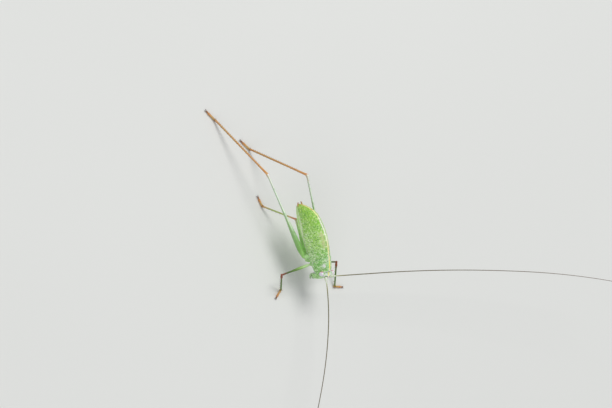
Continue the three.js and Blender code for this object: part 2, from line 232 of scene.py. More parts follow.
def loft(grid, **marks):
    """A closed skin over a grid of rings by points: quads between rings and a fan over each end. The sign of
    the volume inside tells which way to turn it."""
    rings, around = grid.shape[:2]
    index = np.arange(rings * around).reshape(rings, around)
    beside = np.roll(index, -1, axis=1)
    quads = np.stack([index[:-1], beside[:-1], beside[1:], index[1:]], -1).reshape(-1, 4)
    hub = np.full(around, rings * around)
    ends = (beside[0], index[0], hub), (index[-1], beside[-1], hub + 1)
    tris = np.concatenate([np.stack(end, -1) for end in ends])
    points = np.concatenate([grid.reshape(-1, 3), grid[[0, -1]].mean(1)])
    corners = (points - points.mean(0))[np.concatenate([quads[:, :3], quads[:, [0, 2, 3]], tris])]
    if np.einsum("ij,ij->", corners[:, 0], np.cross(corners[:, 1], corners[:, 2])) < 0:
        quads, tris = quads[:, ::-1], tris[:, ::-1]
    full = {}
    for name, values in marks.items():
        whole = np.broadcast_to(values, (rings, around))
        full[name] = np.concatenate([whole.ravel(), whole[[0, -1]].mean(1)])
    return {"points": points, "quads": quads, "tris": tris, "marks": full}


def sheet(grid, **marks):
    """An open skin over a grid of rows that run back and points that run to the left."""
    rows, across = grid.shape[:2]
    index = np.arange(rows * across).reshape(rows, across)
    quads = np.stack([index[:-1, :-1], index[:-1, 1:], index[1:, 1:], index[1:, :-1]], -1).reshape(-1, 4)
    full = {name: np.broadcast_to(values, (rows, across)).ravel() for name, values in marks.items()}
    return {"points": grid.reshape(-1, 3), "quads": quads, "tris": np.zeros((0, 3), int), "marks": full}


def joined(parts):
    """Several skins as one: points, faces and marks. A mark that a skin lacks is 0 there."""
    counts = [len(p["points"]) for p in parts]
    starts = np.cumsum([0] + counts[:-1])
    faces = [(p[kind] + s).tolist() for kind in ("quads", "tris") for p, s in zip(parts, starts)]
    marks = {
        name: np.concatenate([p["marks"].get(name, np.zeros(n)) for p, n in zip(parts, counts)])
        for name in sorted({name for p in parts for name in p["marks"]})
    }
    return np.concatenate([p["points"] for p in parts]), sum(faces, []), marks


def above(parts, height):
    """Skins whose points are lifted to a height where they are lower."""
    for part in parts:
        part["points"][:, 2] = np.maximum(part["points"][:, 2], height)
    return parts


def make(name, parts, finish, replaces=None, wall=0.0):
    """Puts skins into one mesh at the origin, in metres, with marks as attributes, and rides it on the body.
    It replaces the node of its own name or those given."""
    points, faces, marks = joined(parts)
    mesh = bpy.data.meshes.new(f"{name}_skin")
    mesh.from_pydata(((points + SHIFT) * MM).tolist(), [], faces)
    mesh.polygons.foreach_set("use_smooth", np.ones(len(mesh.polygons), bool))
    for mark, values in marks.items():
        layer = mesh.attributes.new(mark, "FLOAT", "POINT")
        layer.data.foreach_set("value", values.astype(np.float32))
    mesh.materials.append(finish)
    piece = bpy.data.objects.new(f"{name}_skin", mesh)
    bpy.context.scene.collection.objects.link(piece)
    if wall:
        shell = piece.modifiers.new("wall", "SOLIDIFY")
        shell.thickness = wall * MM
        shell.offset = -1
    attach(piece, "root")
    nodes = [name] if replaces is None else replaces
    if nodes:
        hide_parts(*nodes)


def limb(start, end, wide, tall, caps, count, around, relief=None):
    """A straight tube: at share t an oval wide(t) by tall(t), with rounded ends and relief(t, angle) on it.
    Angle 0 points to the left of the way it runs and a quarter turn points up."""
    span = end - start
    length = np.linalg.norm(span)
    along = span / length
    across, over = sides_of(along)
    place, share = rounded(length, *caps, count)
    t = (place / length)[:, None]
    angle = ((np.arange(around) + 0.5) / around * TURN)[None, :]
    lift = 0.0 if relief is None else relief(t, angle)
    half_wide = (wide(t) + lift) * share[:, None]
    half_tall = (tall(t) + lift) * share[:, None]
    ring = (half_wide * np.cos(angle))[..., None] * across + (half_tall * np.sin(angle))[..., None] * over
    return loft(start + place[:, None, None] * along + ring, along=t, top=np.sin(angle))


def swept(path, radius, around, **marks):
    """A round tube along a bent path: rings of the given radius at right angles to it."""
    along = np.gradient(path, axis=0)
    along /= np.linalg.norm(along, axis=1, keepdims=True)
    grid = path[:, None] + radius[:, None, None] * circle(*sides_of(along), around)
    return loft(grid, along=np.linspace(0, 1, len(path))[:, None], **marks)


def bead(middle, half, rows=40, around=48, pinch=None):
    """An ellipsoid in the head's frame with its poles to the sides. pinch(x, y, z), in half sizes, scales it
    about its middle."""
    pole = 0.02
    tilt = np.linspace(pole, np.pi - pole, rows)[:, None]
    angle = (np.arange(around) / around * TURN)[None, :]
    x, y, z = np.sin(tilt) * np.cos(angle), np.cos(tilt), np.sin(tilt) * np.sin(angle)
    scale = 1.0 if pinch is None else pinch(x, y, z)
    places = (centre + reach * unit * scale for centre, reach, unit in zip(middle, half, (x, y, z)))
    return loft(on_head(*places), front=x, top=z)


def thorns(roots, ways, lengths, radius):
    """Small thorns: five sided cones in two steps, each from its root along its way, drooping a bit."""
    sides, droop = 5, 0.06
    ways = np.broadcast_to(ways, roots.shape)
    ways = ways / np.linalg.norm(ways, axis=1, keepdims=True)
    ring = circle(*sides_of(ways), sides)
    lengths = np.broadcast_to(lengths, len(roots))[:, None]
    points = [
        (roots[:, None] + ways[:, None] * reach * lengths[..., None] + ring * share * radius).reshape(-1, 3)
        for reach, share in ((-0.12, 1.0), (0.5, 0.62))
    ]
    points = np.concatenate(points + [roots + ways * lengths - np.array([0, 0, droop]) * lengths])
    count = len(roots)
    first = np.arange(count)[:, None] * sides
    a = (first + np.arange(sides)).reshape(-1)
    b = (first + (np.arange(sides) + 1) % sides).reshape(-1)
    ring_points = count * sides
    tip = np.repeat(np.arange(count), sides) + 2 * ring_points
    quads = np.stack([a, b, b + ring_points, a + ring_points], -1)
    cone = np.stack([a + ring_points, b + ring_points, tip], -1)
    base = np.concatenate([np.concatenate([first, first + k + 1, first + k], 1) for k in range(1, sides - 1)])
    reach = np.concatenate([np.zeros(ring_points), np.full(ring_points, 0.5), np.ones(count)])
    return {"points": points, "quads": quads, "tris": np.concatenate([cone, base]),
            "marks": {"thorn": np.ones(len(points)), "tip": reach}}


# ---- finishes

def tint(code):
    """A colour from its usual six digits, as light values."""
    shares = np.array([int(code[k:k + 2], 16) for k in (1, 3, 5)]) / 255
    light = np.where(shares <= 0.04045, shares / 12.92, ((shares + 0.055) / 1.055) ** 2.4)
    return (*light.tolist(), 1.0)


class Finish:
    """One material, whose nodes are added by small calls that give back an output."""

    def __init__(self, name):
        self.material = bpy.data.materials.new(name)
        self.material.use_nodes = True
        self.tree = self.material.node_tree
        self.shader = self.tree.nodes["Principled BSDF"]
        self.place = self.add("TexCoord").outputs["Object"]

    def add(self, kind):
        return self.tree.nodes.new("ShaderNode" + kind)

    def put(self, sockets, values):
        """Links an output to each socket, or sets a value on it."""
        for socket, value in zip(sockets, values):
            if isinstance(value, bpy.types.NodeSocket):
                self.tree.links.new(value, socket)
            else:
                socket.default_value = tint(value) if isinstance(value, str) else value

    def mark(self, name):
        node = self.add("Attribute")
        node.attribute_name = name
        return node.outputs["Fac"]

    def reckon(self, kind, *values):
        node = self.add("Math")
        node.operation = kind
        self.put(node.inputs, values)
        return node.outputs[0]

    def times(self, first, second):
        return self.reckon("MULTIPLY", first, second)

    def spread(self, value, low, high):
        """0 at low, 1 at high, and a smooth S between."""
        node = self.add("MapRange")
        node.interpolation_type = "SMOOTHSTEP"
        self.put(node.inputs, (value, low, high))
        return node.outputs[0]

    def pattern(self, kind, size, **settings):
        """A pattern in object space with features of about that size, in mm."""
        node = self.add(kind)
        settings["Vector"], settings["Scale"] = self.place, 1 / (size * MM)
        self.put([node.inputs[name] for name in settings], settings.values())
        return node.outputs

    def cloud(self, size, detail=3.0, low=0.35, high=0.65):
        """Soft patches: 0 where the noise is under low, 1 where over high."""
        return self.spread(self.pattern("TexNoise", size, Detail=detail)["Fac"], low, high)

    def specks(self, spacing, core, edge, jitter=1.0):
        """Round specks: 1 within the core of a speck and 0 past its edge."""
        return self.spread(self.pattern("TexVoronoi", spacing, Randomness=jitter)["Distance"], edge, core)

    def mix(self, amount, first, second):
        node = self.add("Mix")
        node.data_type = "RGBA"
        colours = [s for s in node.inputs if s.type == "RGBA"]
        self.put([node.inputs["Factor"], *colours], (amount, first, second))
        return next(s for s in node.outputs if s.type == "RGBA")

    def paint(self, under, *coats):
        """Lays coats on a colour: each a mark that says where, a share of it and a colour."""
        for name, share, over in coats:
            under = self.mix(self.times(self.mark(name), share), under, over)
        return under

    def scale(self, value, stops):
        """Colours along a value, from stops written as places and colours. All places are set first, as the
        ramp sorts by them."""
        node = self.add("ValToRGB")
        ramp = node.color_ramp.elements
        words = stops.replace(",", "").split()
        for _ in words[4::2]:
            ramp.new(0.5)
        for element, place in zip(ramp, words[::2]):
            element.position = float(place)
        for element, colour in zip(ramp, words[1::2]):
            element.color = tint(colour)
        self.put([node.inputs["Fac"]], [value])
        return node.outputs["Color"]

    def done(self, colour, rough, height=None, depth=0.01, glow=0.12, gloss=0.45, coat=0.0):
        """Sets colour, roughness, a bump of that depth in mm, light under the surface, and shine."""
        sockets = self.shader.inputs
        looks = {
            "Base Color": colour, "Roughness": rough, "Specular IOR Level": gloss, "Coat Weight": coat,
            "Coat Roughness": 0.25, "Subsurface Weight": glow, "Subsurface Radius": (0.5, 1.0, 0.35),
            "Subsurface Scale": 0.25 * MM,
        }
        self.put([sockets[name] for name in looks], looks.values())
        if height is not None:
            bump = self.add("Bump")
            bump.inputs["Strength"].default_value = 0.7
            bump.inputs["Distance"].default_value = depth * MM
            self.tree.links.new(height, bump.inputs["Height"])
            self.tree.links.new(bump.outputs["Normal"], sockets["Normal"])
        return self.material


def skin_green(f, base, deep, pale, dark, amount=1.0):
    """Green cuticle: broad deeper areas and small dark hollows under a pale dust of patches and of specks in
    three sizes, the finest in loose groups. Gives the colour and the dust."""
    broad, hollow, group, patch = 0.9, 0.21, 0.5, 0.19
    fine, middling, large = 0.09, 0.24, 0.42
    body = f.mix(f.times(f.cloud(broad), 0.35), base, deep)
    body = f.mix(f.times(f.cloud(hollow, 2.0, 0.47, 0.63), 0.8), body, dark)
    gathered = f.reckon("MULTIPLY_ADD", f.cloud(group, 2.0, 0.35, 0.65), 0.35, 0.1)
    dust = f.times(f.specks(fine, 0.14, 0.44), gathered)
    dust = f.reckon("MAXIMUM", dust, f.times(f.specks(middling, 0.10, 0.42), 0.7))
    dust = f.reckon("MAXIMUM", dust, f.specks(large, 0.14, 0.40))
    dust = f.reckon("MAXIMUM", dust, f.times(f.cloud(patch, 2.0, 0.50, 0.66), 0.85))
    return f.mix(f.times(dust, amount), body, pale), dust


def grain(f, dust):
    """Height of the cuticle: pale specks stand up a little over a fine leathery grain."""
    return f.reckon("ADD", f.times(dust, 0.5), f.times(f.cloud(0.045, 4.0), 0.5))


def trunk_finish():
    """Mottled green, paler to the belly: a pale fold, a tan saddle, a cream and yellow line on the ridge. The
    paler belly, fold and lower flank are partly their own colour and partly painted light on the shaded lower
    side.
    """
    f = Finish("trunk_cuticle")
    along = f.mark("along")
    base = f.scale(along, "0 #97d37d, 0.24 #9fd973, 0.4 #b2e768, 0.62 #a3db55, 0.85 #8dc93a, 1 #a1c444")
    speck = f.scale(along, "0 #e1f7ce, 0.5 #e1fabd, 0.8 #c7e984, 1 #bee079")
    colour, dust = skin_green(f, base, "#78bb46", speck, "#62a33b")
    colour = f.paint(
        colour,
        ("edge", f.cloud(0.3, 2.0, 0.3, 0.75), "#cfe3b4"),
        # Belly: paler green, partly its own colour and partly painted light against the shade on the lower
        # side.
        ("belly", 0.75, f.mix(f.cloud(0.4), "#c6f08e", "#d6f8ae")),
        # Hem: the pale fold line, its own colour, painted nearly white so that it stays bright in the shade
        # there.
        ("hem", 0.95, "#f9ffe8"),
        # Flank: whitish mottle, its own on the thorax; its weaker spread over the abdomen is painted light on
        # the shaded lower side.
        ("flank", f.cloud(0.18, 2.0, 0.45, 0.7), "#e3ead6"),
        ("saddle", f.cloud(0.3, 2.0, 0.1, 0.7), "#d3d99c"),
        ("breath", 0.8, "#6c8244"),
    )
    ridge = f.scale(along, "0 #f4e27a, 0.2 #fff6cc, 0.3 #fff09c, 0.38 #fdf4cc, 0.5 #fcfbf0, 0.72 #fbf9ee, "
                           "0.77 #f6f2b4, 0.865 #f4ebac, 0.88 #eda75e, 0.9 #f4e8a4, 0.965 #eed488, 1 #b8702f")
    ridge = f.mix(f.times(f.cloud(0.5, 2.0, 0.58, 0.7), 0.25), ridge, "#dcae6e")
    return f.done(f.mix(f.mark("ridge"), colour, ridge), 0.46, grain(f, dust), 0.012, 0.16)


def pronotum_finish():
    """Mottled green with a whitish shoulder patch, a grey rim and a yellow, pale edged line on the keel."""
    f = Finish("pronotum_shell")
    base = f.mix(f.cloud(0.8), "#9adb7b", "#92d26c")
    colour, dust = skin_green(f, base, "#7ec05a", "#dbf7c0", "#65aa47", 0.9)
    colour = f.paint(colour, ("blotch", f.cloud(0.2, 2.0, 0.25, 0.55), "#edeeea"))
    colour = f.mix(f.mark("rim"), colour, "#e0e2e6")
    colour = f.paint(colour, ("furrow", 0.4, "#679a5a"), ("halo", 0.75, "#f3f4e2"))
    ridge = f.scale(f.mark("along"), "0 #faf6c8, 0.25 #fff05a, 0.55 #fdf06e, 0.8 #fbf3a8, 1 #fbf2c4")
    return f.done(f.mix(f.mark("ridge"), colour, ridge), 0.42, grain(f, dust), 0.012, 0.12)


def head_finish():
    """Mottled green with a pale face, whitish brows, a stripe behind the eye and yellow on the crown."""
    f = Finish("head_capsule")
    base = f.mix(f.cloud(0.7), "#a3df80", "#97d670")
    colour, dust = skin_green(f, base, "#84c660", "#e2f9cb", "#63a644", 0.9)
    colour = f.paint(
        colour,
        ("face", f.cloud(0.22, 2.0, 0.2, 0.6), "#d3e3cc"),
        ("brow", f.cloud(0.16, 2.0, 0.2, 0.5), "#ecebec"),
        ("stripe", f.cloud(0.2, 2.0, 0.1, 0.45), "#e3dfe8"),
        ("crest", 0.85, "#e4d8d6"),
        ("seam", 0.6, "#5d8a4e"),
        ("rim", 0.7, "#dbe7d2"),
    )
    return f.done(f.mix(f.mark("ridge"), colour, "#f8ee94"), 0.42, grain(f, dust), 0.01, 0.14)


def eye_finish():
    """Lilac white with small facets, pink at the upper rear and greyer below, under a glossy coat."""
    f = Finish("eye_lilac")
    facets = f.specks(0.028, 0.1, 0.5, 0.12)
    upper_rear = f.reckon("SUBTRACT", f.times(f.mark("top"), 0.45), f.mark("front"))
    colour = f.mix(f.cloud(0.12, 2.0), "#e2dde6", "#f2f0f2")
    colour = f.mix(f.times(f.spread(upper_rear, 0.45, 1.0), 0.85), colour, "#e08fae")
    colour = f.mix(f.times(f.spread(f.mark("top"), -0.5, -0.95), 0.5), colour, "#a9a3a0")
    colour = f.mix(f.times(facets, 0.12), colour, "#ffffff")
    return f.done(colour, 0.24, facets, 0.006, 0.2, 0.6, 0.35)


def mouth_finish(name, light, dark):
    """Two greens under thin pale dust, for the soft mouth parts."""
    f = Finish(name)
    colour, dust = skin_green(f, f.mix(f.cloud(0.25), light, dark), dark, "#dfe8cc", dark, 0.4)
    return f.done(colour, 0.4, grain(f, dust), 0.008, 0.16)


def jaw_finish():
    """Green, darkening to brown horn at the biting tip."""
    f = Finish("jaw_horn")
    green = f.mix(f.cloud(0.2), "#8fae72", "#9bb883")
    colour = f.mix(f.spread(f.mark("top"), -0.2, -0.85), green, "#5b3a20")
    return f.done(colour, 0.34, f.cloud(0.05, 4.0), 0.008, 0.08, 0.5, 0.15)


def whip_finish():
    """Pale green at the root, soon olive brown, then greyer, with a dark ring sunk at each joint's end."""
    f = Finish("antenna_whip")
    ring = f.mark("ring")
    stops = "0 #d5d6b4, 0.012 #aaac7c, 0.03 #7b7848, 0.08 #625d3a, 0.3 #655b45, 0.65 #75685c, 1 #8d7e79"
    colour = f.scale(f.mark("along"), stops)
    colour = f.mix(f.times(ring, 0.5), colour, "#3d3623")
    colour = f.mix(f.times(f.cloud(0.3), 0.2), colour, "#9a9078")
    return f.done(colour, 0.5, ring, -0.006, 0.05)


def scape_finish():
    """Pale grey green under whitish dust."""
    f = Finish("scape_cuticle")
    base = f.mix(f.cloud(0.25), "#dde2cc", "#c9d8b6")
    colour, dust = skin_green(f, base, "#b7c99c", "#efeee8", "#a3b98a", 0.6)
    return f.done(colour, 0.42, grain(f, dust), 0.008, 0.16)


def leg_finish(name, stops, streak=None, under=None, speck=0.35):
    """Leg cuticle: colours along the limb, fine specks and dark thorns. A streak on top has a colour, lowest
    height, strength and start along the limb; an underside has a colour and a strength: a darker one is
    painted shade, a paler one the pale pads of a tarsus."""
    f = Finish(name)
    along = f.mark("along")
    drift = f.reckon("MULTIPLY_ADD", f.reckon("SUBTRACT", f.cloud(0.5, 2.0), 0.5), 0.05, along)
    colour = f.scale(drift, stops)
    # The underside: painted shade where it is darker, the pale pads of a tarsus where it is paler.
    if under:
        shade, strength = under
        colour = f.mix(f.times(f.spread(f.mark("top"), 0.1, -0.8), strength), colour, shade)
    dust = f.specks(0.11, 0.1, 0.4)
    colour = f.mix(f.times(f.times(dust, f.cloud(0.6, 2.0)), speck), colour, "#e6eddb")
    if streak:
        shade, lower_edge, strength, start = streak
        band = f.spread(f.mark("top"), lower_edge, min(1.0, lower_edge + 0.3))
        band = f.times(band, f.spread(along, start, start + 0.4))
        broken = f.times(band, f.cloud(0.35, 2.0, 0.2, 0.5))
        colour = f.mix(f.times(broken, strength), colour, shade)
    thorn = f.scale(f.mark("tip"), "0 #a98a56, 0.45 #6b4525, 1 #2c1a10")
    return f.done(f.mix(f.mark("thorn"), colour, thorn), 0.42, grain(f, dust), 0.008, 0.14)


def claw_finish():
    """Brown horn, darker at the tip."""
    f = Finish("claw_horn")
    colour = f.scale(f.mark("along"), "0 #7a4d2c, 0.5 #4a2c1a, 1 #1f130c")
    colour = f.mix(f.times(f.cloud(0.06), 0.3), colour, "#8a5c38")
    return f.done(colour, 0.28, f.cloud(0.03), 0.003, 0.0, 0.5, 0.2)


# Leg parts: what leg_finish says of the colours from base to tip, streak, underside and specks.
LEG_LOOKS = {
    "coxa": ("0 #a6d586, 1 #b4dc98",),
    # Fore femur: pale green at the hip and red brown at the knee; the dark olive between is painted shade
    # from the body.
    "fore_femur": (
        "0 #cfe8b6, 0.2 #b4d890, 0.4 #80a653, 0.58 #55742c, 0.78 #465a1e, 0.88 #70401c, 1 #8a3f26",
        None, None, 0.15),
    "fore_tibia": (
        "0 #93432a, 0.14 #8a4a2a, 0.26 #5a6a28, 0.7 #4f7526, 0.95 #6a7830, 1 #8a7438", None, None, 0.12),
    # Mid femur: its own pale yellow green, painted lighter still to offset the trunk's shadow on it.
    "mid_femur": (
        "0 #b2ea84, 0.5 #b0e680, 0.8 #b4d88c, 0.93 #cfc0a4, 1 #d98a66", ("#d4f0b4", 0.2, 0.4, -0.2)),
    # Mid tibia: salmon at the knee and greenish in the middle, painted lighter than its own colour to offset
    # the trunk's shadow on it.
    "mid_tibia": (
        "0 #f29a7e, 0.08 #ea9c7a, 0.2 #ccaa74, 0.35 #a5b068, 0.7 #9aa860, 0.92 #b9a066, 1 #c9955c",
        None, None, 0.12),
    # Hind femur: the darker green underside is painted shade.
    "hind_femur": (
        "0 #9fd476, 0.12 #80b856, 0.28 #8fbc74, 0.45 #98ba80, 0.65 #a3bf98, 0.92 #b0c2a4, 1 #d3b094",
        ("#f4fbec", 0.72, 0.95, 0.18), ("#5f8f45", 0.8)),
    # Hind tibia: the darker brown underside is painted shade.
    "hind_tibia": (
        "0 #d79a63, 0.06 #cb8545, 0.5 #c38844, 0.85 #b98a4b, 1 #b8743f",
        ("#dcae6e", 0.3, 0.4, -0.2), ("#9a7a38", 0.4), 0.1),
    "tarsus": (
        "0 #b98a4e, 0.3 #c9a363, 0.5 #d09a58, 0.75 #c2834a, 1 #74482a", None, ("#c9a67c", 0.6), 0.1),
}


# ---- trunk and pronotum

def swing(x):
    """How far the abdomen swings aside: in proportion to the way behind the start of the swing."""
    return -SWING_RATE * np.maximum(0, SWING_START - x)


def trunk_point(x, angle, grow=0.0):
    """The trunk's skin: an oval between ridge and belly, narrower to the ridge as an egg is, and swung."""
    top, bottom, half = through(TRUNK, x)
    tall = (top - bottom) / 2 + grow
    side = (half + grow) * np.sin(angle) * (1 - EGG * np.cos(angle))
    return standing(x, swing(x) + side, (top + bottom) / 2 + tall * np.cos(angle))


def find_shift():
    """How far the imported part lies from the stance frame: its mesothorax box against that solid's rings."""
    front, back, sides = -0.56, -1.24, 20
    rings = np.linspace(front, back, 4)[:, None]
    outline = trunk_point(rings, np.arange(sides)[None, :] / sides * TURN).reshape(-1, 3)
    low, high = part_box("mesothorax")
    reach = (np.array(low) + np.array(high)) / 2 / MM - (outline.min(0) + outline.max(0)) / 2
    return np.array([reach[0], reach[1], 0.0])


def plate_share(x, shift=0.0):
    """How far x lies through its back plate, from 0 at the front edge to 1 at the hind edge."""
    edges = -np.array(PLATES) + shift
    i = np.clip(np.searchsorted(edges, -x, side="right") - 1, 0, len(edges) - 2)
    return np.clip((-x - edges[i]) / (edges[i + 1] - edges[i]), 0, 1)


def trunk_skin():
    """Trunk: the egg oval with back plates that rise to their hind edge and step down, a keel, a fold between
    back and belly plates, slanting thorax seams and a row of breathing holes."""
    step_height, belly_height, keel_height, wrinkle_height = 0.055, 0.04, 0.055, 0.008
    fold_depth, pleat_depth, seam_depth, hole_depth, inset = 0.07, 0.03, 0.03, 0.03, 0.03
    pleat_below, nose_start, nose_length, seam_middle = 0.26, 0.8, 0.26, 1.3
    line_width, widest_line, hole_place, hole_above = 0.125, 0.4, 0.72, 0.2
    rings, cap_rings, around = 470, 14, 144
    cap = TAIL_END - TAIL_CAP * np.sin(np.linspace(0, np.pi / 2, cap_rings)[1:])
    x = np.concatenate([np.linspace(NECK_END, TAIL_END, rings), cap])[:, None]
    angle = np.linspace(-np.pi, np.pi, around, endpoint=False)[None, :]
    aside = np.abs(angle)
    abdomen = ease(ABDOMEN_START + 0.05, ABDOMEN_START - 0.05, x)
    small = ease(-8.1, -7.2, x)
    s = plate_share(x)
    step = step_height * s ** 1.6 * (1 - ease(0.93, 1.0, s))
    seam = blend(FOLD_FRONT, FOLD_REAR, ease(-2.2, -6.2, x))
    back = 1 - ease(seam - 0.12, seam, aside)
    under = plate_share(x, 0.25)
    belly_step = belly_height * under ** 2 * (1 - ease(0.92, 1.0, under)) * (1 - back)
    fold = hill(aside, seam, 0.05) * abdomen
    pleat = hill(aside, seam + pleat_below, 0.07) * abdomen
    keel = hill(angle, 0, KEEL_WIDTH)
    paint = np.minimum(line_width / through(TRUNK, x)[2], widest_line)
    lines = [start - tilt * (aside - seam_middle) for start, tilt in THORAX_SEAMS]
    slant = sum(hill(x, line, 0.035) for line in lines) * ease(1.15, 1.35, aside) * (1 - abdomen)
    holes = blend(np.array(PLATES[2:-2]), np.array(PLATES[3:-1]), hole_place)
    breath = sum(hill(x, place, 0.05) for place in holes) * hill(aside, seam - hole_above, 0.035)
    wrinkle = wrinkle_height * np.sin(x * 34 + 2 * np.sin(aside * 5)) * ease(0.3, 0.8, aside) * back
    relief = step * back + belly_step + keel_height * keel - inset - seam_depth * slant
    relief = relief + (wrinkle - fold_depth * fold - pleat_depth * pleat - hole_depth * breath) * small
    grid = trunk_point(x, angle, relief)
    close = np.cos(np.arcsin(np.clip((TAIL_END - x) / TAIL_CAP, 0, 1)))
    nose = np.sqrt(np.clip(1 - (np.maximum(x - nose_start, 0) / nose_length) ** 2, 0.002, 1))
    middle = grid.mean(1, keepdims=True)
    grid = middle + (grid - middle) * np.maximum(close * nose, 0.03)[..., None]
    return loft(
        grid,
        along=(NECK_END - x) / (NECK_END - TAIL_END + TAIL_CAP),
        ridge=np.clip(2.0 * hill(angle, 0, paint) - 0.4, 0, 1),
        edge=0.7 * hill(s, 0.96, 0.045) * back,
        # belly, hem and flank lighten the lower side: partly its own colour, partly painted light against its
        # shade.
        belly=ease(seam, seam + 0.1, aside),
        hem=hill(aside, seam - 0.04, 0.10) * ease(-1.3, -2.2, x) * blend(1.0, 0.6, ease(-4.6, -6.2, x)),
        flank=hill(aside, 1.85, 0.40) * blend(1.0, 0.55, ease(-1.6, -2.6, x)),
        saddle=hill(aside, 0.46, 0.22) * ease(-1.6, -2.3, x) * ease(-4.3, -3.6, x),
        breath=np.clip(breath * 1.3, 0, 1) * small,
    )


def pronotum_shell():
    """Pronotum: the trunk's oval lifted clear of it, with side lobes that end in rounded corners, a keel, two
    bent cross furrows, soft shoulders and a raised rim."""
    front, back, lobe_height, lift = 1.10, -0.66, -2.32, 0.05
    keel_height, shoulder_height, rim_height, furrow_depth, dimple_height = 0.05, 0.02, 0.025, 0.04, 0.006
    x = np.linspace(front, back, 110)[:, None]
    across = np.linspace(-1, 1, 200)[None, :]
    s = (x - (front + back) / 2) / ((front - back) / 2)
    corner = np.where(s > 0, 0.20 * np.abs(s) ** 3.5, 0.36 * np.abs(s) ** 3.0)
    top, bottom, _ = through(TRUNK, x)
    lobe = np.arccos(np.clip((lobe_height - (top + bottom) / 2) / ((top - bottom) / 2), -0.95, 0))
    angle = across * lobe * (1 - corner)
    aside = np.abs(angle)
    side_rim = hill((1 - np.abs(across)) * lobe * 1.6, 0.03, 0.06)
    end_rim = hill(np.minimum(front - x, x - back), 0.03, 0.06)
    furrow = hill(x, 0.62 - 0.06 * np.cos(angle * 2), 0.05) * ease(0.12, 0.35, aside)
    furrow = furrow + hill(x, 0.02 - 0.16 * np.cos(angle * 1.5), 0.05)
    keel = hill(angle, 0, KEEL_WIDTH)
    shoulder = hill(aside, 0.62, 0.07)
    dimple = np.sin(x * 29 + 3 * np.sin(angle * 4)) * np.cos(angle * 17)
    grow = lift + keel_height * keel + shoulder_height * shoulder + dimple_height * dimple
    grow = grow + rim_height * np.maximum(side_rim, end_rim) - furrow_depth * furrow * (1 - keel)
    shoulder_patch = 1.2 * hill(x, 0.28, 0.26) * hill(aside, 0.80, 0.20)
    rear_patch = 0.6 * hill(x, -0.2, 0.3) * hill(aside, 0.4, 0.2)
    return sheet(
        trunk_point(x, angle, grow),
        along=(front - x) / (front - back),
        ridge=np.clip(2.0 * hill(angle, 0, 0.115) - 0.4, 0, 1),
        halo=np.clip(1.6 * hill(angle, 0, 0.20) - 0.4, 0, 1),
        rim=0.85 * np.maximum(side_rim, blend(0.25, 1.0, x > 0) * end_rim),
        furrow=np.clip(furrow, 0, 1),
        blotch=np.clip(shoulder_patch + rear_patch, 0, 1),
    )


def tail_parts():
    """Abdomen tip: two short bent cones with round ends, the cerci."""
    start, length, height, root, tip = -7.72, 0.62, -0.92, 0.13, 0.055
    t = np.linspace(0, 1, 26)
    parts = []
    for side in SIDES.values():
        y = swing(TAIL_END) + side * (0.27 + 0.08 * np.sin(np.pi * t) - 0.06 * t)
        path = standing(start - length * t, y, height + 0.16 * t)
        parts.append(swept(path, blend(root, tip, t) * blunt(t, 0.86), 16))
    return parts


# ---- head

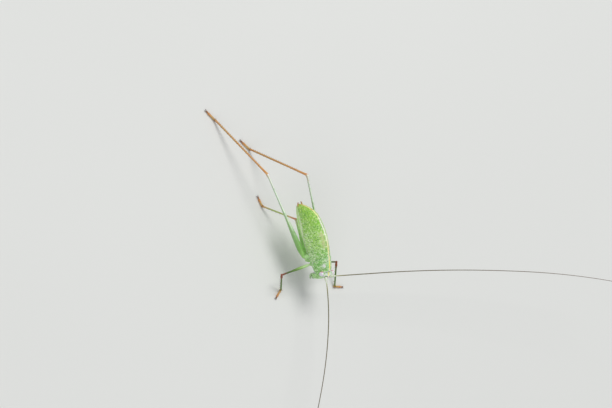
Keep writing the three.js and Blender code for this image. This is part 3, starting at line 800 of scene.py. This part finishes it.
def head_capsule():
    """Head: ovals domed at crown and chin, with rims round eyes and antenna sockets, a small peak between the
    antennae, and seams of clypeus, cheeks and crown."""
    crown_dome, chin_dome, caps, rings, around = 0.05, 0.07, 8, 130, 168
    rim_height, socket_depth, eye_rim_height, peak_height = 0.05, 0.05, 0.035, 0.15
    clypeus_depth, cheek_depth, crown_depth, face_hollow, inset = 0.035, 0.03, 0.012, 0.03, 0.015
    dome = np.linspace(0.06, 1, caps + 1)[:-1]
    drop = [np.zeros(caps), np.linspace(0, HEAD_HEIGHT, rings), np.full(caps, HEAD_HEIGHT)]
    drop = np.concatenate(drop)[:, None]
    shrink = np.concatenate([dome, np.ones(rings), dome[::-1]])[:, None]
    back, front, half = through(HEAD, drop)
    angle = np.linspace(-np.pi, np.pi, around, endpoint=False)[None, :]
    side = np.abs(angle)
    bulge = np.where(drop < HEAD_HEIGHT / 2, crown_dome, -chin_dome) * (1 - shrink ** 2)
    x = (back + front) / 2 + (front - back) / 2 * np.cos(angle) * shrink
    y = half * np.sin(angle) * shrink
    z = CROWN - drop + bulge
    socket = np.sqrt((x - SOCKET[0]) ** 2 + (np.abs(y) - SOCKET[1]) ** 2 + (z - SOCKET[2]) ** 2)
    eye = np.sqrt(((x - EYE_PLACE[0]) / EYE_HALF[0]) ** 2 + ((z - EYE_PLACE[2]) / EYE_HALF[2]) ** 2)
    eye = np.where(np.abs(y) > 0.45, eye, 9.0)
    eye_rim = hill(eye, 1.16, 0.12)
    peak = hill(y, 0, 0.10) * hill(z, -0.98, 0.13) * (x > 1.3)
    clypeus = hill(z, -2.86 + 0.12 * np.cos(angle * 2), 0.03) * (1 - ease(0.85, 1.05, side))
    cheek = hill(side, 1.02, 0.05) * ease(-1.55, -1.75, z) * ease(-3.1, -2.9, z)
    crown = hill(y, 0, 0.03) * (z > -1.0) * (x < 1.5)
    flat = hill(y, 0, 0.3) * hill(z, -1.8, 0.5) * (x > 1.3)
    relief = rim_height * hill(socket, 0.30, 0.05) - socket_depth * (socket < 0.24)
    relief = relief + eye_rim_height * eye_rim + peak_height * peak - face_hollow * flat - inset
    relief = relief - clypeus_depth * clypeus - cheek_depth * cheek - crown_depth * crown
    x, y = x + relief * np.cos(angle), y + relief * np.sin(angle)
    brow = hill(eye, 1.2, 0.35) * ease(-1.5, -1.0, z) + hill(z, -0.9, 0.15) * hill(np.abs(y), 0.25, 0.15)
    return loft(
        on_head(x, y, z),
        brow=np.clip(brow, 0, 1),
        stripe=hill(x, 0.86 + 0.10 * (z + 2.2), 0.13) * ease(-1.05, -1.35, z) * ease(0.3, 0.5, np.abs(y)),
        face=hill(y, 0, 0.38) * (x > 1.3) * ease(-1.2, -1.6, z),
        crest=np.clip(peak + hill(socket, 0.28, 0.10) * 0.6, 0, 1),
        seam=np.clip(clypeus + cheek + 0.5 * crown, 0, 1),
        rim=np.clip(eye_rim, 0, 1),
        ridge=np.clip(1.4 * hill(y, 0, 0.085), 0, 1) * ease(-1.2, -0.9, z) * ease(1.72, 1.6, x),
    )


def palp(side, points, radius, joints):
    """A feeler of the mouth: a tube through its points that narrows at each joint and ends blunt."""
    t = np.linspace(0, 1, 60)
    place = np.linspace(0, 1, len(points))
    x, y, z = through([(p, *q) for p, q in zip(place, points)], t)
    waist = sum(hill(t, j, 0.035) for j in joints)
    swell = 1 + 0.18 * hill(t, 0.9, 0.12)
    girth = radius * swell * (1 - 0.32 * waist) * blunt(t, 0.92)
    return swept(on_head(x, side * y, CHIN + z), girth, 18)


def labrum_shape(x, y, z):
    """The upper lip's outline: squarer than an oval, with a shallow notch in its lower edge."""
    power = 3.2
    square = (np.abs(y) ** power + np.abs(z) ** power + 1e-6) ** (-1 / power)
    flat = np.sqrt(y * y + z * z + 1e-6)
    notch = 1 - 0.10 * hill(y, 0, 0.16) * (z < -0.4)
    return blend(1.0, np.clip(square * flat, 1, 1.25), 0.7) * notch


def build_head():
    """The head with its eyes and mouth parts."""
    make("head", [head_capsule()], head_finish())
    eye_paint = eye_finish()
    soft = mouth_finish("palp_cuticle", "#bcd6ac", "#a3c48e")
    jaw = jaw_finish()
    for name, side in SIDES.items():
        eye = bead((EYE_PLACE[0], side * EYE_PLACE[1], EYE_PLACE[2]), EYE_HALF, rows=64, around=72)
        make(f"eye_{name}", [eye], eye_paint)
        bite = bead((1.16, side * 0.24, CHIN - 0.14), (0.22, 0.22, 0.32))
        make(f"mandible_{name}", [bite], jaw)
        make(f"palp_{name}", [palp(side, *shape) for shape in PALPS], soft)
    lip = bead((1.42, 0, CHIN - 0.22), (0.13, 0.31, 0.31), pinch=labrum_shape)
    make("labrum", [lip], mouth_finish("labrum_cuticle", "#a9cfa0", "#93bd86"))


def whip(root, headings):
    """An antenna's thread: small steps along a heading that turns from one given heading to the next, with
    radii that swell within each joint."""
    count, near_joint, far_joint, root_radius, tip_radius = 1500, 0.16, 0.42, 0.070, 0.038
    t = (np.arange(count) + 0.5) / count
    heading = np.interp(t * (len(headings) - 1), np.arange(len(headings)), headings)
    steps = np.concatenate([[[0, 0, 0]], np.cumsum(direction(heading, WHIP_RISE), 0)])
    path = root + steps * (WHIP_LENGTH / count)
    path = path[np.linalg.norm(path - root, axis=1) > SCAPE_LENGTH + 0.12]
    s = np.linspace(0, 1, len(path))
    joint = (s * WHIP_LENGTH / blend(near_joint, far_joint, ease(0, 0.3, s))) % 1.0
    radius = blend(root_radius, tip_radius, s ** 0.6) * (0.90 + 0.12 * np.sin(np.pi * joint) ** 0.5)
    radius = radius * np.where(s > 0.999, 0.5, 1.0)
    return swept(path, radius, 12, ring=hill(joint, 1.0, 0.16)[:, None])


def build_antennae():
    """Each antenna: a root joint, a short ring and a whip."""
    ring_length, overlap = 0.34, 0.06
    whip_paint, scape_paint = whip_finish(), scape_finish()

    def scape_half(t):
        return 0.155 + 0.055 * np.sin(np.pi * t) ** 0.7 - 0.03 * t

    def pedicel_half(t):
        return 0.115 - 0.02 * t + 0.015 * np.sin(np.pi * t)

    for name, headings in WHIPS.items():
        root = on_head(SOCKET[0], SIDES[name] * SOCKET[1], SOCKET[2])
        way = direction(headings[0], WHIP_RISE)
        scape = limb(root, root + way * SCAPE_LENGTH, scape_half, scape_half, (0.05, 0.12), 30, 30)
        start = root + way * (SCAPE_LENGTH - overlap)
        pedicel = limb(start, start + way * ring_length, pedicel_half, pedicel_half, (0.04, 0.07), 16, 26)
        make(f"scape_{name}", [scape, pedicel], scape_paint)
        nodes = [f"antenna_{part}_{name}" for part in ("base", "middle", "tip")]
        make(f"antenna_{name}", [whip(root, headings)], whip_paint, nodes)


# ---- legs

def femur_skin(hip, knee, slim, thick, hind):
    """Femur: a slim oval tube, swollen near the hip and grooved below, with a knob and two round lobes at the
    knee, a row of small thorns on each side, and on a hind leg slanting furrows on its faces."""
    flat, rings, count, first_thorn = (0.60, 220, 10, 0.45) if hind else (0.9, 110, 6, 0.35)
    groove_depth, keel_height, furrow_height = 0.035, 0.014, 0.010
    thorn_length, thorn_radius, past_hip, past_knee = 0.13, 0.028, 0.12, 0.10

    def tall(t):
        if hind:
            taper, neck, knob = hill(t, 0.12, 0.28), 1 - 0.50 * hill(t, 0, 0.065), 0.09
        else:
            taper = np.sin(np.pi * np.minimum(1, 0.22 + t * 1.1)) ** 1.6
            neck, knob = 1 - 0.12 * hill(t, 0, 0.06), 0.05
        return blend(slim, thick, taper) * neck + knob * hill(t, 0.985, 0.025)

    def wide(t):
        return blend(1, flat, hill(t, 0.12, 0.3)) * tall(t)

    def relief(t, angle):
        below = hill(angle, 1.5 * np.pi, 0.28) * (1 - ease(0.86, 0.94, t))
        keels = hill(np.abs(angle - 1.5 * np.pi), 0.5, 0.12) + hill(angle, 0.5 * np.pi, 0.14)
        lift = keel_height * keels * (1 - ease(0.9, 0.95, t)) - groove_depth * below
        if hind:
            face = np.cos(angle) ** 2 * ease(0.03, 0.08, t) * (1 - ease(0.45, 0.6, t))
            slant = t * 30 + 1.1 * np.abs(np.sin(angle))
            lift = lift + furrow_height * face * np.sin(TURN * slant)
        return lift

    along = (knee - hip) / np.linalg.norm(knee - hip)
    across, over = sides_of(along)
    start, finish = hip - along * past_hip, knee + along * past_knee
    shaft = limb(start, finish, wide, tall, (thick * 0.5, slim * 0.9), rings, 40, relief)
    lobes, rows = [], []
    place = np.linspace(first_thorn, 0.9, count)
    girth = tall(place)[:, None]
    for side in (1, -1):
        middle = knee - along * 0.09 + across * side * slim * 0.62 - over * 0.03
        lobe = limb(middle - along * 0.24, middle + along * 0.26, lambda t: slim * 0.36,
                    lambda t: slim * 0.86, (0.2, 0.24), 8, 24)
        lobe["marks"]["along"][:] = 0.985
        foot = hip + place[:, None] * (knee - hip) - over * girth * 0.93 + across * side * girth * 0.3
        way = along * 0.6 - over + across * side * 0.2
        lobes.append(lobe)
        rows.append(thorns(foot, way, thorn_length, thorn_radius))
    return [shaft, *lobes, *rows]


def tibia_skin(knee, ankle, half, kind):
    """Tibia: a slim four edged tube with rows of thorns and spurs at its end. A fore tibia swells below the
    knee, where the ear is, with a long dimple on each side."""
    fore = kind == "fore"
    ear_place, ear_swell, ear_depth, edge_height = 0.15, 0.05, 0.05, 0.012
    thorn_radius, spur_radius, spur_length, past_knee, lowest = 0.03, 0.036, 0.27, 0.06, 0.03

    def girth(t):
        base = half * (1 - 0.22 * ease(0.0, 0.25, t)) + 0.02 * hill(t, 1.0, 0.05) + 0.03 * hill(t, 0.0, 0.05)
        return base + (ear_swell * hill(t, ear_place, 0.07) if fore else 0)

    def relief(t, angle):
        edges = edge_height * np.cos(4 * (angle - np.pi / 4)) * ease(0.04, 0.12, t)
        ear = hill(t, ear_place, 0.045) * hill(np.abs(np.cos(angle)), 1, 0.12) if fore else 0
        return edges - ear_depth * ear

    span = ankle - knee
    along = span / np.linalg.norm(span)
    across, over = sides_of(along)
    start = knee - along * past_knee
    parts = [limb(start, ankle, girth, girth, (half * 0.9, half * 0.7), 150, 32, relief)]
    for turn, count, size in THORN_ROWS[kind]:
        place = np.linspace(0.16 if kind == "hind" else 0.24, 0.93, count)
        out = np.cos(turn * np.pi) * across + np.sin(turn * np.pi) * over
        root = knee + place[:, None] * span + out * girth(place)[:, None]
        parts.append(thorns(root, along * 0.75 + out, size * (0.75 + 0.25 * place), thorn_radius))
    spur = np.array([0.25, 0.75, 1.25, 1.75]) * np.pi
    out = np.cos(spur)[:, None] * across + np.sin(spur)[:, None] * over
    root = ankle - along * 0.1 + out * girth(1.0) * 0.9
    parts.append(thorns(root, along * 1.2 + out * 0.7, spur_length, spur_radius))
    return above(parts, lowest)


def tarsus_skin(ankle, toe, length):
    """Tarsus: three lobed pads flat on the floor and a slim joint raised to two claws, given apart."""
    claw_height, claw_reach, claw_drop, claw_radius = 0.17, 0.26, 0.15, 0.048
    aside = np.cross([0, 0, 1.0], toe)
    parts = []
    for k, (start, finish, wide, middle) in enumerate(TARSUS_JOINTS):
        pad = k < 3
        a = ankle + toe * start * length
        b = ankle + toe * finish * length
        a[2], b[2] = (middle + (0.07 if k == 0 else 0.03)), middle

        def spread(t):
            return wide * (0.72 + 0.28 * t ** 1.5) if pad else wide * (0.8 + 0.25 * t)

        def deep(t):
            return (middle + 0.03) * (0.95 + 0.05 * t) if pad else 0.095 + 0.02 * t

        part = limb(a, b, spread, deep, (0.10, 0.12), 26, 32)
        part["marks"]["along"] = blend(start, finish, part["marks"]["along"])
        parts.append(part)
    end = ankle + toe * length
    t = np.linspace(0, 1, 24)
    bend = t * 1.45
    claws = []
    for side in (1, -1):
        ahead, apart = claw_reach * np.sin(bend) - 0.05, (0.05 + 0.09 * t) * side
        path = end + ahead[:, None] * toe + apart[:, None] * aside
        path[:, 2] = claw_height - claw_drop * (1 - np.cos(bend))
        claws.append(swept(path, claw_radius * (1 - 0.9 * t) ** 0.8, 12))
    return above(parts, 0.0), above(claws, 0.0)


def build_legs():
    """Each leg from a root inside the trunk outwards. The tibia falls to the ankle's height."""
    root_share, root_above, claw_room = 0.45, 0.55, 0.2
    paints = {part: leg_finish(f"{part}_cuticle", *looks) for part, looks in LEG_LOOKS.items()}
    claw_paint = claw_finish()
    for name, (hip, thigh_heading, rise, shin_heading, toe_heading) in LEGS.items():
        kind = name.split("_")[0]
        hind = kind == "hind"
        thigh_length, shin_length, foot_length, thick, slim, shin_half = PAIRS[kind]
        inner = standing(hip[0], hip[1] * root_share, hip[2] + root_above)
        hip = standing(*hip)
        knee = hip + direction(thigh_heading, rise) * thigh_length
        fall = -math.degrees(math.asin((knee[2] - ANKLE_HEIGHT) / shin_length))
        ankle = knee + direction(shin_heading, fall) * shin_length
        half = 0.31 if hind else 0.25

        def cone(t):
            return blend(half + 0.10, half - 0.02, t) - 0.035 * hill(t, 0.68, 0.05) - 0.04 * ease(0.7, 1.0, t)

        coxa = limb(inner, hip, cone, cone, (0.3, half * 0.8), 60, 40)
        make(f"coxa_{name}", [coxa], paints["coxa"])
        make(f"femur_{name}", femur_skin(hip, knee, slim, thick, hind), paints[f"{kind}_femur"])
        make(f"tibia_{name}", tibia_skin(knee, ankle, shin_half, kind), paints[f"{kind}_tibia"])
        foot, claws = tarsus_skin(ankle, direction(toe_heading, 0), foot_length - claw_room)
        make(f"tarsus_{name}", foot, paints["tarsus"])
        make(f"claws_{name}", claws, claw_paint, replaces=())


# ---- camera, light and floor

def set_stage():
    """A camera far off, so that lines stay nearly parallel, a pale floor and soft light."""
    scene = bpy.context.scene
    view_width, lens, sensor, reach = 76.5, 200.0, 36.0, 1.5
    tilt, heading, roll = (math.radians(turn) for turn in VIEW_TURNS)
    back = Vector((math.sin(heading) * math.cos(tilt), -math.cos(heading) * math.cos(tilt), math.sin(tilt)))
    level = Vector((math.cos(heading), math.sin(heading), 0))
    right = level * math.cos(roll) + back.cross(level) * math.sin(roll)
    turn = Matrix((right, back.cross(right), back)).transposed().to_4x4()
    aim = Vector(np.array(VIEW_AIM) + SHIFT) * MM
    optics = bpy.data.cameras.new("camera")
    optics.lens = lens
    optics.sensor_width = sensor
    optics.clip_start, optics.clip_end = 0.01, 20
    camera = bpy.data.objects.new("camera", optics)
    camera.matrix_world = Matrix.Translation(aim + back * (view_width * MM * lens / sensor)) @ turn
    scene.collection.objects.link(camera)
    scene.camera = camera

    ground = bpy.data.meshes.new("floor")
    corners = [(-reach, -reach, 0), (reach, -reach, 0), (reach, reach, 0), (-reach, reach, 0)]
    ground.from_pydata(corners, [], [(0, 1, 2, 3)])
    floor = bpy.data.objects.new("floor", ground)
    scene.collection.objects.link(floor)
    f = Finish("pale_floor")
    ground.materials.append(f.done(f.mix(f.cloud(60.0), "#dededa", "#dfdfdb"), 0.8, glow=0.0, gloss=0.2))

    world = bpy.data.worlds.new("studio")
    world.use_nodes = True
    backdrop = world.node_tree.nodes["Background"].inputs
    backdrop["Color"].default_value = (0.93, 0.96, 1.0, 1)
    backdrop["Strength"].default_value = 0.45
    scene.world = world
    for name, (place, power, size) in LAMPS.items():
        light = bpy.data.lights.new(name, "AREA")
        light.energy, light.size = power, size
        lamp = bpy.data.objects.new(name, light)
        facing = Vector(place).to_track_quat("Z", "Y").to_matrix().to_4x4()
        lamp.matrix_world = Matrix.Translation(place) @ facing
        scene.collection.objects.link(lamp)
    scene.view_settings.view_transform = "Standard"


SHIFT = find_shift()
set_stage()
make("trunk", [trunk_skin()], trunk_finish(), TRUNK_NODES)
make("pronotum", [pronotum_shell()], pronotum_finish(), wall=0.05)
cercus_paint = leg_finish("cercus_cuticle", "0 #a9b56c, 0.5 #c0904f, 1 #9a5f30")
make("cerci", tail_parts(), cercus_paint, ["cercus_left", "cercus_right"])
build_head()
build_antennae()
build_legs()
